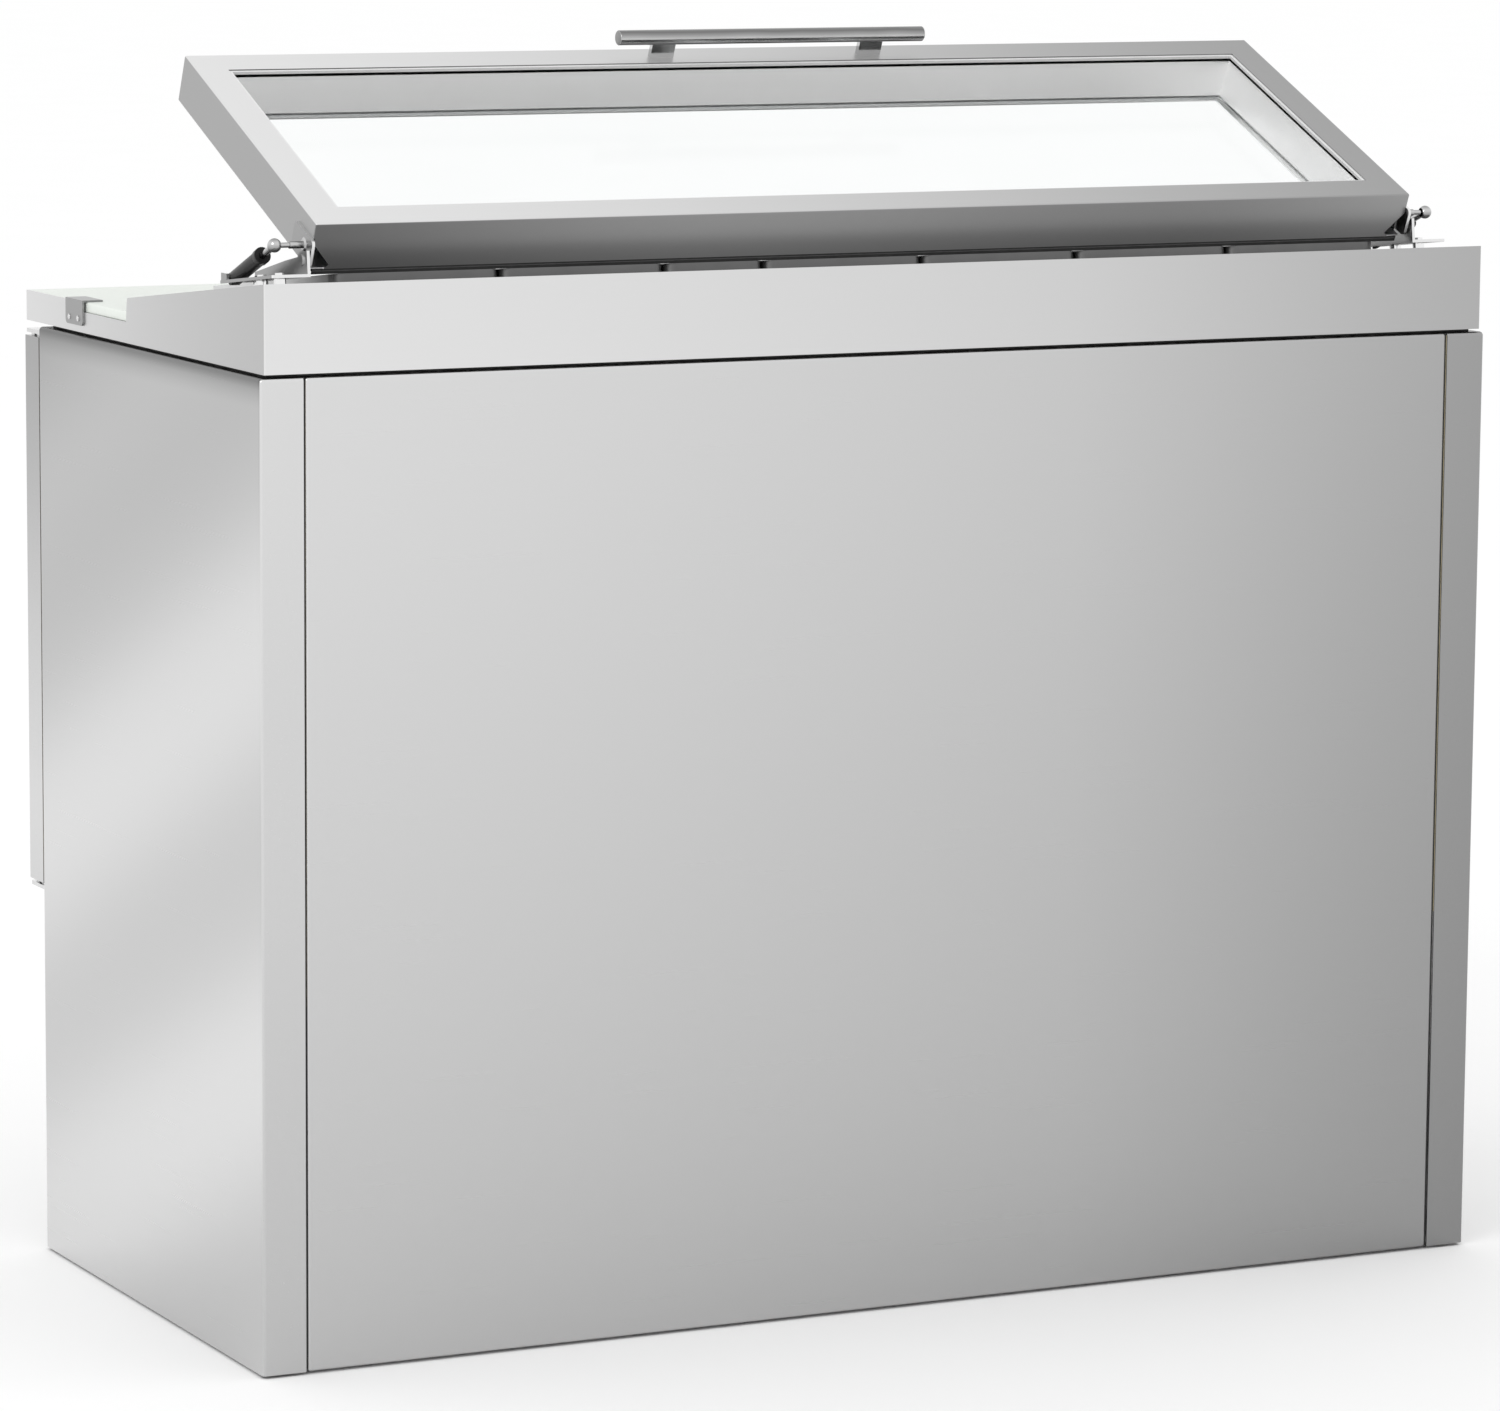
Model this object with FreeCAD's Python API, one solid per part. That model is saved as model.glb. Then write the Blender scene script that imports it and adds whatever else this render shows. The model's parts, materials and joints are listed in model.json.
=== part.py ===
import FreeCAD, Part
import math
import os

from FreeCAD import Vector

# Refrigerated preparation counter with a lifting glass lid, sizes in millimetres.
# +Z is up and the doors face -Y. The origin is on the floor, under the middle of the box
# that the object fills. "depth" is counted forward from the back face.

# ---- driving dimensions: cabinet ----
width = 1365.0
body_depth = 605.0
rim_overhang = 50.0
foot_proud = 3.0
body_top = 969.0
sheet = 1.2
fold_radius = 4.0
back_return = 45.0
front_return = 20.0
top_fold = 20.0
panel_seam = 2.0
back_fold = 14.0
wall = 45.0
base_sheet = 1.5
base_flange = 25.0
machine_top = 362.0
liner_sheet = 0.8
liner_top = 960.0
frame_depth = 20.0
inlet_from_back = 120.0
inlet_z = 90.0
inlet_w = 28.0
inlet_h = 22.0
shelf_level = 640.0
shelf_y = (-235.0, 175.0)
fan_shaft = 3.0

# ---- driving dimensions: top rim and well ----
rim_gap = 3.0
rim_inset_x = 5.0
rim_inset_back = 1.0
rim_sheet = 1.5
rim_back_height = 86.0
slope_end_height = 45.0
slope_length_y = 362.0
seat_height = 21.0
board_thickness = 10.0
notch_front = 500.0
notch_step = 3.0
rim_flange = 18.0
board_gap = 1.0
pan_pitch = 176.0
narrow_pitch = 108.0
pan_gap = 1.0
pan_length = 323.0
pan_start = 36.5
pan_depth = 100.0
pan_sheet = 1.2
pan_lip = 9.0
pan_corner = 14.0
pan_ledge = 14.0
pan_taper = 8.0
lip_overlap = 6.0
bar_width = 14.0
bar_depth = 12.0
well_shift = 10.0

# ---- driving dimensions: lid and its hinge ----
lid_width = 1216.0
lid_length = 368.0
lid_height = 48.0
lid_band = 34.0
lid_taper = 12.0
lid_sheet = 1.2
glass = 4.0
outer_glass_drop = 3.0
inner_glass_up = 4.0
lid_gasket_height = 3.5
closed_gap = 0.5
open_angle = 23.1
pivot_forward = 1.0
pivot_up = 9.5
pivot_along = 29.0
pin_radius = 3.5
running = 0.05
handle_radius = 7.75
handle_ends = (-202.0, 147.0)
post_places = (-143.0, 95.0)
post_width = 26.0
post_thickness = 6.0
handle_from_edge = 20.0
handle_above = 22.0

# ---- driving dimensions: gas struts ----
bracket_gap = 5.0
bracket_sheet = 3.0
bracket_foot = 40.0
bracket_foot_height = 6.0
bracket_start = 16.0
bracket_length = 150.0
bracket_slot_start = 104.0
bolt_radius = 2.5
bolt_places = ((22.0, 40.0), (22.0, 85.0), (10.0, 122.0))
anchor_pin_radius = 2.5
anchor_pin_length = 16.0
stud_neck = 2.5
ball_radius = 4.0
socket_radius = 6.8
socket_clearance = 1.3
stud_length = 28.0
ball_forward = 13.4
ball_up = 19.7
strut_reach = 102.0
strut_drop = 39.5
strut_tube_radius = 7.5
strut_tube_length = 76.0
strut_rod_radius = 3.4

# ---- driving dimensions: doors ----
door_bottom = 388.0
door_top = 957.0
door_gap = 5.0
door_thickness = 42.0
gasket_thickness = 6.0
gasket_width = 14.0
gasket_inset = 10.0
gasket_clear = 0.3
opening_bottom = 415.0
opening_top = 930.0
mullion_width = 60.0
hinge_inset = 8.0
door_pin_radius = 3.0
door_pin_depth = 15.0
hinge_plate = 4.0

# ---- places worked out from the sizes above ----
half = width / 2
y_back = (body_depth + rim_overhang) / 2
y_front = y_back - body_depth
rim_bottom = body_top + rim_gap
rim_half = half - rim_inset_x
rim_back_y = y_back - rim_inset_back
rim_front_y = y_back - body_depth - rim_overhang
rim_top = rim_bottom + rim_back_height
seat_top = rim_bottom + seat_height
board_top = seat_top + board_thickness
notch_y = y_back - slope_length_y - notch_step
slope = math.atan2(rim_back_height - slope_end_height, slope_length_y)
slope_origin = Vector(0, y_back, rim_top)
liner_half = half - wall
liner_back_y = y_back - wall
liner_front_y = y_front + frame_depth
foam_back_y = y_back - sheet
panel_half = half - back_return - panel_seam
return_inner = half - front_return - 0.2
pans_total = 6 * pan_pitch + narrow_pitch
opening_half = pans_total / 2 - lip_overlap
opening_start = pan_start + lip_overlap
opening_end = pan_start + pan_length - lip_overlap
lid_closed_height = pan_lip + lid_gasket_height + closed_gap
lid_half = lid_width / 2
inlet_y = y_back - inlet_from_back
bracket_inner = lid_half + bracket_gap
open_rad = math.radians(open_angle)
close_angle = open_angle + math.degrees(slope)
door_pitch = width / 3
door_width = door_pitch - door_gap
door_back_y = y_front - gasket_thickness
door_front_y = door_back_y - door_thickness

nodes = {}


def box(x0, x1, y0, y1, z0, z1):
    """Solid block between two corners."""
    return Part.makeBox(x1 - x0, y1 - y0, z1 - z0, Vector(x0, y0, z0))


def rod(start, direction, radius, length):
    """Solid round bar from a point along a direction."""
    return Part.makeCylinder(radius, length, Vector(*start), Vector(*direction))


def fuse(shapes):
    """One solid out of several that touch or overlap."""
    if len(shapes) == 1:
        return shapes[0]
    return shapes[0].multiFuse(shapes[1:]).removeSplitter()


def group(shapes):
    """Several separate solids that share one node."""
    return Part.makeCompound(shapes)


def mirror_x(shape):
    """The same piece on the other end of the counter."""
    return shape.mirror(Vector(0, 0, 0), Vector(1, 0, 0))


def extrude_profile(points, x0, x1):
    """Extrudes an outline of (y, z) points along X."""
    corners = [Vector(x0, y, z) for y, z in points]
    wire = Part.makePolygon(corners + [corners[0]])
    return Part.Face(wire).extrude(Vector(x1 - x0, 0, 0))


def round_edges(shape, radius, wanted):
    """Fillets the edges whose middle point and direction the test accepts."""
    chosen = []
    for edge in shape.Edges:
        if len(edge.Vertexes) != 2:
            continue
        a, b = edge.Vertexes[0].Point, edge.Vertexes[1].Point
        if wanted((a + b) * 0.5, (b - a).normalize()):
            chosen.append(edge)
    return shape.makeFillet(radius, chosen)


def rounded_plate(x0, x1, y0, y1, radius, z, height):
    """Upright prism with a rounded rectangle as its outline."""
    block = box(x0, x1, y0, y1, z, z + height)
    return round_edges(block, radius, lambda m, d: abs(d.z) > 0.9)


def on_slope(shape):
    """Moves a piece from the slope's own flat frame to the sloping top.

    In the flat frame the top surface is z = 0 and the back top edge is y = 0.
    """
    placed = shape.copy()
    placed.rotate(Vector(0, 0, 0), Vector(1, 0, 0), math.degrees(slope))
    placed.translate(slope_origin)
    return placed


def slope_point(x, along, height):
    """Point on or above the sloping top, counted from its back edge."""
    y = y_back - along * math.cos(slope) + height * -math.sin(slope)
    z = rim_top - along * math.sin(slope) + height * math.cos(slope)
    return Vector(x, y, z)


pivot = slope_point(0, pivot_along, lid_closed_height + pivot_up)


def lid_point(x, forward, up):
    """Point of the open lid, counted from its lower back edge."""
    f = forward - pivot_forward
    u = up - pivot_up
    y = pivot.y - f * math.cos(open_rad) + u * math.sin(open_rad)
    z = pivot.z + f * math.sin(open_rad) + u * math.cos(open_rad)
    return Vector(x, y, z)


def on_lid(shape):
    """Moves a piece from the lid's own flat frame to the open lid."""
    placed = shape.copy()
    placed.translate(Vector(0, pivot_forward, -pivot_up))
    placed.rotate(Vector(0, 0, 0), Vector(1, 0, 0), -open_angle)
    placed.translate(pivot)
    return placed


def lid_box(x0, x1, f0, f1, u0, u1):
    """Block in the lid's flat frame, with "forward" counted towards -Y."""
    return box(x0, x1, -f1, -f0, u0, u1)


def make_cabinet_shell():
    """Base tray, feet, side panels and back panel."""
    inner = half - sheet
    tray = box(-inner, inner, y_front + sheet, y_back - back_fold, foot_proud, foot_proud + base_flange)
    tray = round_edges(tray, fold_radius, lambda m, d: abs(d.z) > 0.9 and m.y < 0)
    hollow = box(-inner + base_sheet, inner - base_sheet, y_front + sheet + base_sheet,
                 y_back - back_fold - base_sheet, foot_proud + base_sheet, foot_proud + base_flange + 1)
    base = tray.cut(hollow)
    feet = []
    foot_x, foot_in, stud_radius, stud_height = half - 70, 60.0, 5.0, 24.0
    for sx in (-1, 1):
        for y in (y_front + foot_in, y_back - foot_in):
            disc = rod((sx * foot_x, y, 0), (0, 0, 1), 20.0, foot_proud)
            disc = disc.makeChamfer(0.8, [e for e in disc.Edges if abs(e.BoundBox.ZMax) < 1e-6])
            stud = rod((sx * foot_x, y, foot_proud), (0, 0, 1), stud_radius, stud_height)
            feet.append(disc.fuse(stud))
            base = base.cut(rod((sx * foot_x, y, 0), (0, 0, 1), stud_radius, 40))
    nodes["base_pan"] = base
    nodes["levelling_feet"] = group(feet)

    block = box(half - back_return, half, y_front, y_back, foot_proud, body_top)

    def outer_edges(m, d):
        upright = abs(d.z) > 0.9 and abs(m.x - half) < 1e-6
        top = abs(m.z - body_top) < 1e-6 and m.x > half - back_return + 1
        return upright or top

    block = round_edges(block, fold_radius, outer_edges)
    hollow = box(half - back_return - 1, half - sheet, y_front + sheet, y_back - sheet, 0, body_top - sheet)

    def inner_edges(m, d):
        upright = abs(d.z) > 0.9 and abs(m.x - half + sheet) < 1e-6
        top = abs(m.z - body_top + sheet) < 1e-6 and m.x > half - back_return
        return upright or top

    hollow = round_edges(hollow, fold_radius - sheet, inner_edges)
    panel = block.cut(hollow)
    front_cut = box(half - back_return - 1, half - front_return, y_front - 1, y_front + 10, 0, body_top + 1)
    top_cut = box(half - back_return - 1, half - top_fold, y_front + 10, y_back - 10, body_top - 10, body_top + 1)
    panel = panel.cut(front_cut).cut(top_cut)
    inlet_hole = box(-half - 1, -half + sheet + 1, inlet_y - inlet_w / 2, inlet_y + inlet_w / 2,
                     inlet_z - inlet_h / 2, inlet_z + inlet_h / 2)
    nodes["side_panel_right"] = panel
    nodes["side_panel_left"] = mirror_x(panel).cut(inlet_hole)

    top = body_top - 0.5
    block = box(-panel_half, panel_half, y_back - back_fold, y_back, foot_proud, top)

    def face_edges(m, d):
        return abs(m.y - y_back) < 1e-6

    block = round_edges(block, fold_radius - 1, lambda m, d: abs(d.y) > 0.9)
    block = round_edges(block, fold_radius - 1.2, face_edges)
    hollow = box(-panel_half + sheet, panel_half - sheet, y_back - back_fold - 1, y_back - sheet,
                 foot_proud + sheet, top - sheet)
    nodes["back_panel"] = block.cut(hollow)


def make_inlet():
    """Flush appliance inlet low on the left end, with its three blades in a socket."""
    deep, wall_thickness, blade_length = 26.0, 3.0, 15.0
    body = box(-half, -half + deep, inlet_y - inlet_w / 2, inlet_y + inlet_w / 2,
               inlet_z - inlet_h / 2, inlet_z + inlet_h / 2)
    socket = box(-half - 1, -half + deep - wall_thickness - 2, inlet_y - inlet_w / 2 + wall_thickness,
                 inlet_y + inlet_w / 2 - wall_thickness, inlet_z - inlet_h / 2 + wall_thickness,
                 inlet_z + inlet_h / 2 - wall_thickness)
    body = body.cut(socket)
    blades = []
    for dy, dz in ((-6.5, -2.5), (6.5, -2.5), (0, 2.5)):
        x0 = -half + deep - wall_thickness - 3 - blade_length
        blades.append(box(x0, -half + deep - wall_thickness, inlet_y + dy - 1, inlet_y + dy + 1,
                          inlet_z + dz - 2.5, inlet_z + dz + 2.5))
    nodes["power_inlet"] = fuse([body] + blades)


def make_insulation():
    """Foam slabs behind the outer panels, and the bright inner tub."""
    foam_top = body_top - 0.5 - sheet
    back = box(-panel_half + sheet, panel_half - sheet, liner_back_y, foam_back_y, machine_top, foam_top)
    side = box(liner_half, half - sheet, liner_front_y, y_back - sheet, machine_top, body_top - sheet)

    def inside_bends(m, d):
        upright = abs(d.z) > 0.9 and m.y > y_back - 2 * sheet and m.x > half - 2 * sheet
        top = abs(d.y) > 0.9 and m.z > body_top - 2 * sheet and m.x > half - 2 * sheet
        back_top = abs(d.x) > 0.9 and m.z > body_top - 2 * sheet and m.y > y_back - 2 * sheet
        return upright or top or back_top

    side = round_edges(side, fold_radius, inside_bends)
    floor = box(-liner_half, liner_half, liner_front_y, liner_back_y, machine_top, machine_top + wall)
    nodes["insulation"] = group([back, side, mirror_x(side), floor])
    outer = box(-liner_half, liner_half, liner_front_y, liner_back_y, machine_top + wall, liner_top)
    inner = box(-liner_half + liner_sheet, liner_half - liner_sheet, liner_front_y - 1,
                liner_back_y - liner_sheet, machine_top + wall + liner_sheet, liner_top + 1)
    nodes["cabinet_liner"] = outer.cut(inner)


def make_front_frame():
    """Face frame around the three door openings."""
    y0, y1 = y_front, y_front + frame_depth
    rails = [box(-return_inner, return_inner, y0, y1, machine_top, opening_bottom),
             box(-return_inner, return_inner, y0, y1, opening_top, body_top - sheet - 0.3)]
    posts = []
    for sx in (-1, 1):
        edge = sx * return_inner
        posts.append(box(min(edge, sx * liner_half), max(edge, sx * liner_half), y0, y1,
                         opening_bottom, opening_top))
        middle = sx * door_pitch / 2
        posts.append(box(middle - mullion_width / 2, middle + mullion_width / 2, y0, y1,
                         opening_bottom, opening_top))
    nodes["front_rails"] = group(rails)
    nodes["front_posts"] = group(posts)


def rim_outline(shrink, bottom, seat):
    """Side outline of the rim as (y, z) points, moved inwards by "shrink"."""
    back = rim_back_y - shrink
    front = rim_front_y + shrink
    drop = shrink / math.cos(slope)
    knee = y_back - slope_length_y + shrink
    return [(back, bottom), (back, rim_top - drop + (back - y_back) * math.tan(slope)),
            (knee, rim_top - drop - (y_back - knee) * math.tan(slope)),
            (knee - notch_step, seat), (front, seat), (front, bottom)]


def make_rim():
    """Sheet-metal top with a sloping collar, a board seat and a turned-in lower edge."""
    skirt = extrude_profile(rim_outline(0, rim_bottom, seat_top), -rim_half, rim_half)
    cheek = box(-rim_half, rim_half, rim_front_y, y_back - notch_front, rim_bottom, board_top)
    block = skirt.fuse(cheek).removeSplitter()

    def soft(m, d):
        upright = abs(d.z) > 0.9 and abs(abs(m.x) - rim_half) < 1e-6
        front_top = abs(m.z - board_top) < 1e-6 and abs(m.y - rim_front_y) < 1e-6
        return (upright and (abs(m.y - rim_back_y) < 1 or abs(m.y - rim_front_y) < 1)) or front_top

    block = round_edges(block, 2.5, soft)
    knee_z = rim_bottom + slope_end_height
    block = round_edges(block, 3.0, lambda m, d: abs(d.x) > 0.9 and abs(m.z - knee_z) < 1.5
                        and abs(m.y - y_back + slope_length_y) < 3)
    pocket = box(-rim_half + rim_sheet, rim_half - rim_sheet, rim_front_y + rim_sheet, notch_y,
                 seat_top, board_top + 5)
    inside = extrude_profile(rim_outline(rim_sheet, rim_bottom + rim_sheet, seat_top - rim_sheet),
                             -rim_half + rim_sheet, rim_half - rim_sheet)
    mouth = box(-rim_half + rim_flange, rim_half - rim_flange, rim_front_y + rim_flange,
                rim_back_y - rim_flange, rim_bottom - 1, rim_bottom + rim_sheet + 1)
    opening = on_slope(box(well_shift - opening_half, well_shift + opening_half, -opening_end, -opening_start,
                           -10, 10))
    rim = block.cut(pocket).cut(inside).cut(mouth).cut(opening)
    for sx in (-1, 1):
        for across, along in bolt_places:
            tip = slope_point(sx * (bracket_inner + across) + well_shift, along, -8)
            axis = (0, -math.sin(slope), math.cos(slope))
            rim = rim.cut(rod(tuple(tip), axis, bolt_radius, 16))
    nodes["top_rim"] = rim
    ring_inset, ring_width = 12.0, 12.0
    outer = box(-half + ring_inset, half - ring_inset, y_front + ring_inset, y_back - ring_inset,
                body_top, rim_bottom)
    gap = ring_inset + ring_width
    inner = box(-half + gap, half - gap, y_front + gap, y_back - gap, body_top - 1, rim_bottom + 1)
    nodes["rim_seal"] = outer.cut(inner)
    nodes["worktop_core"] = box(-rim_half + rim_sheet, rim_half - rim_sheet, rim_front_y + rim_sheet,
                                notch_y - rim_sheet - 1, rim_bottom + rim_sheet, seat_top - rim_sheet)


def make_board():
    """Cutting board in its pocket, held by a riveted clip at each end."""
    x = rim_half - rim_sheet - board_gap
    y0, y1 = rim_front_y + rim_sheet + board_gap, notch_y - board_gap
    board = box(-x, x, y0, y1, seat_top, board_top)
    board = round_edges(board, 2.0, lambda m, d: abs(d.z) < 0.1 and abs(m.z - board_top) < 1e-6)
    nodes["cutting_board"] = board
    clip_start, clip_end, clip_sheet, clip_drop, tongue = 483.0, 532.0, 2.0, 24.0, 20.0
    y1, y0 = y_back - clip_start, y_back - clip_end
    top = board_top + clip_sheet
    leg = box(rim_half, rim_half + clip_sheet, y0, y1, board_top - clip_drop, top)
    leg = round_edges(leg, 5.0, lambda m, d: abs(d.x) > 0.9 and m.z < board_top - clip_drop + 1)
    lip = box(rim_half - tongue, rim_half, y0, y1, board_top, top)
    clip = leg.fuse(lip).removeSplitter()
    rivets = []
    for y in (y0 + 12, y1 - 12):
        place = (rim_half - rim_sheet, y, board_top - clip_drop + 7)
        clip = clip.cut(rod(place, (1, 0, 0), 1.6, 10))
        shank = rod(place, (1, 0, 0), 1.6, rim_sheet + clip_sheet)
        head = rod((rim_half + clip_sheet, y, place[2]), (1, 0, 0), 3.0, 1.0)
        nodes["top_rim"] = nodes["top_rim"].cut(rod(place, (1, 0, 0), 1.6, 3))
        nodes["top_rim"] = nodes["top_rim"].cut(rod((-place[0], y, place[2]), (-1, 0, 0), 1.6, 3))
        rivets.append(shank.fuse(head))
    nodes["board_clips"] = group([clip, mirror_x(clip)])
    nodes["clip_rivets"] = group(rivets + [mirror_x(r) for r in rivets])


def make_pan(pitch):
    """One food pan: a lipped flange around a tapered, round-cornered well."""
    w = pitch - pan_gap
    lip = rounded_plate(-w / 2, w / 2, -pan_length, 0, pan_corner, 0, pan_lip)
    lip_inside = rounded_plate(-w / 2 + pan_sheet, w / 2 - pan_sheet, -pan_length + pan_sheet, -pan_sheet,
                               pan_corner - pan_sheet, -1, pan_lip - pan_sheet + 1)

    def well(offset, bottom):
        loops = []
        for level, inset in ((pan_lip, pan_ledge), (bottom, pan_ledge + pan_taper)):
            plate = rounded_plate(-w / 2 + inset + offset, w / 2 - inset - offset,
                                  -pan_length + inset + offset, -inset - offset, 16.0 - offset, level, 1)
            loops.append([f for f in plate.Faces if abs(f.CenterOfMass.z - level) < 1e-6][0].OuterWire)
        return Part.makeLoft(loops, True, True)

    bottom = pan_lip - pan_depth
    outside = well(0, bottom)
    inside = well(pan_sheet, bottom + pan_sheet)
    flange = lip.cut(lip_inside)
    return flange.fuse(outside).cut(inside).removeSplitter()


def make_well():
    """Pans in one row, the bars under their seams, and the well's upright walls."""
    widths = [pan_pitch] * 4 + [narrow_pitch] + [pan_pitch] * 2
    wide = make_pan(pan_pitch)
    narrow = make_pan(narrow_pitch)
    x = well_shift - pans_total / 2
    bars, wide_pans, slim_pans = [], [], []
    for number, pitch in enumerate(widths, 1):
        pan = (narrow if pitch == narrow_pitch else wide).copy()
        pan.translate(Vector(x + pitch / 2, -pan_start, 0))
        (slim_pans if pitch == narrow_pitch else wide_pans).append(on_slope(pan))
        x += pitch
        if number < len(widths):
            bars.append(box(x - bar_width / 2, x + bar_width / 2, -opening_end - 3, -opening_start, -bar_depth, 0))
    nodes["pans_wide"] = group(wide_pans)
    nodes["pan_narrow"] = slim_pans[0]
    y_low = slope_point(0, opening_end, 0).y
    y_high = slope_point(0, opening_start, 0).y
    x0, x1 = well_shift - opening_half, well_shift + opening_half
    outer = box(x0 - rim_sheet, x1 + rim_sheet, y_low - rim_sheet, y_high + rim_sheet, body_top, rim_top)
    inner = box(x0, x1, y_low, y_high, body_top - 1, rim_top + 1)
    above = on_slope(box(-width, width, -body_depth, 50, -rim_sheet, 200))
    nodes["well_liner"] = outer.cut(inner).cut(above)
    nodes["pan_bars"] = group([on_slope(bar).common(inner).cut(nodes["top_rim"]) for bar in bars])


def make_lid():
    """Glass lid: folded outer frame, tapered inner walls, two panes, seals and handle."""
    block = lid_box(-lid_half, lid_half, 0, lid_length, 0, lid_height)
    block = round_edges(block, 2.0, lambda m, d: m.z > lid_height - 1e-6 or abs(d.z) > 0.9)
    hollow = lid_box(-lid_half + lid_sheet, lid_half - lid_sheet, lid_sheet, lid_length - lid_sheet,
                     -1, lid_height - lid_sheet)
    hole = lid_box(-lid_half + lid_band, lid_half - lid_band, lid_band, lid_length - lid_band,
                   0, lid_height + 1)
    frame = block.cut(hollow).cut(hole)
    for side in (-1, 1):
        corner = box(-30, 30, -12, 12, -17, 17)
        corner.rotate(Vector(0, 0, 0), Vector(0, 1, 0), side * 40)
        corner.translate(Vector(side * (lid_half + 14), 0, -2))
        frame = frame.cut(corner)
    nodes["lid_frame"] = on_lid(frame)

    def tapered(offset, top, bottom):
        loops = []
        for level in (top, bottom):
            share = (lid_height - level) / lid_height
            inset = lid_band + lid_taper * share + offset
            plate = lid_box(-lid_half + inset, lid_half - inset, inset, lid_length - inset, level, level + 1)
            loops.append([f for f in plate.Faces if abs(f.CenterOfMass.z - level) < 1e-6][0].OuterWire)
        return Part.makeLoft(loops, True, True)

    top_level = lid_height - lid_sheet - outer_glass_drop - glass
    walls = tapered(-lid_sheet, top_level, lid_sheet).cut(tapered(0, top_level + 1, 0))
    ledge = lid_box(-lid_half + lid_sheet, lid_half - lid_sheet, lid_sheet, lid_length - lid_sheet, 0, lid_sheet)
    ledge_hole = tapered(lip_overlap, lid_height, 0)
    nodes["lid_liner"] = on_lid(walls.fuse(ledge).cut(ledge_hole).removeSplitter())
    inner_pane = tapered(0.2, inner_glass_up, lid_sheet)
    pane_z = lid_height - outer_glass_drop - glass
    inset = lid_band - 8
    outer_pane = lid_box(-lid_half + inset, lid_half - inset, inset, lid_length - inset,
                         pane_z, pane_z + glass - lid_sheet)
    seal = lid_box(-lid_half + lid_band - 8, lid_half - lid_band + 8, lid_band - 8, lid_length - lid_band + 8,
                   pane_z + glass - lid_sheet, lid_height - lid_sheet)
    seal_hole = lid_box(-lid_half + lid_band + 3, lid_half - lid_band - 3, lid_band + 3,
                        lid_length - lid_band - 3, 0, lid_height)
    nodes["lid_glass_inner"] = on_lid(inner_pane)
    nodes["lid_glass_outer"] = on_lid(outer_pane)
    nodes["lid_pane_seal"] = on_lid(seal.cut(seal_hole))
    rim_outer = lid_box(-lid_half + 3, lid_half - 3, 3, lid_length - 3, -lid_gasket_height, 0)
    rim_inner = lid_box(-lid_half + 13, lid_half - 13, 13, lid_length - 13, -lid_gasket_height - 1, 1)
    nodes["lid_gasket"] = on_lid(rim_outer.cut(rim_inner))


def make_lid_handle():
    """Round bar welded to two flat posts that stand on the lid's top near its free edge."""
    forward = lid_length - handle_from_edge
    bar_up = lid_height + handle_above
    bar = rod((handle_ends[0], -forward, bar_up), (1, 0, 0), handle_radius, handle_ends[1] - handle_ends[0])
    bar = bar.makeFillet(1.0, [e for e in bar.Edges if e.Curve.TypeId == "Part::GeomCircle"])
    posts = []
    for x in post_places:
        posts.append(lid_box(x - post_width / 2, x + post_width / 2, forward - post_thickness / 2,
                             forward + post_thickness / 2, lid_height, bar_up))
    nodes["lid_handle"] = on_lid(fuse([bar] + posts))


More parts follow.
